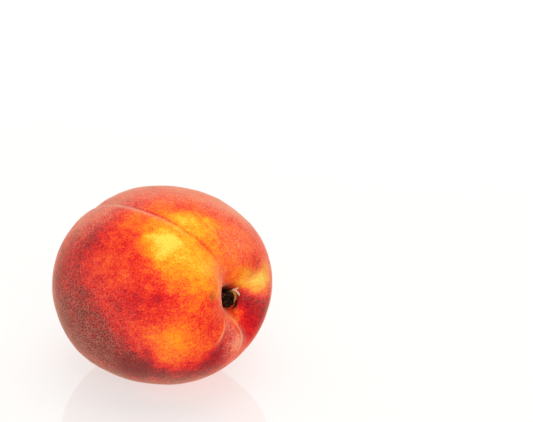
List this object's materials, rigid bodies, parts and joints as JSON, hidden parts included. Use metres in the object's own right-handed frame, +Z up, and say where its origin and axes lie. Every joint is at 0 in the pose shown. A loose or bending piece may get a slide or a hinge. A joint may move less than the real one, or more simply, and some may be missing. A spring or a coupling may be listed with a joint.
{
  "type": "peach",
  "caption": "Whole ripe peach lying on its back, suture uppermost, with a stem cavity and a torn stump of its stalk. Rests on a small flat spot.",
  "frame": {"origin": "centre of the small flat spot that the fruit rests on", "axes": "+Z up with the suture uppermost; the stem end points level, midway between +X and -Y; the fuller cheek faces -X and -Y"},
  "size_m": [0.0739, 0.074, 0.0627],
  "materials": {
    "fuzzy_skin": "ripe peach skin: matte and velvety with fine pale fuzz, mottled from yellow through orange and red to maroon",
    "dark_bark": "dry, dark, fissured bark of the stalk, matte",
    "amber_wood": "freshly torn wood, amber, fibrous, slightly translucent",
    "pale_fibre": "thin dry plant fibre, pinkish cream, matte"
  },
  "bodies": {
    "root": {"fruit": "fuzzy_skin", "stem_stub": "dark_bark", "torn_wood_chip": "amber_wood", "pale_fibre_shred": "pale_fibre", "hooked_bark_shred": "dark_bark"}
  },
  "joints": []
}
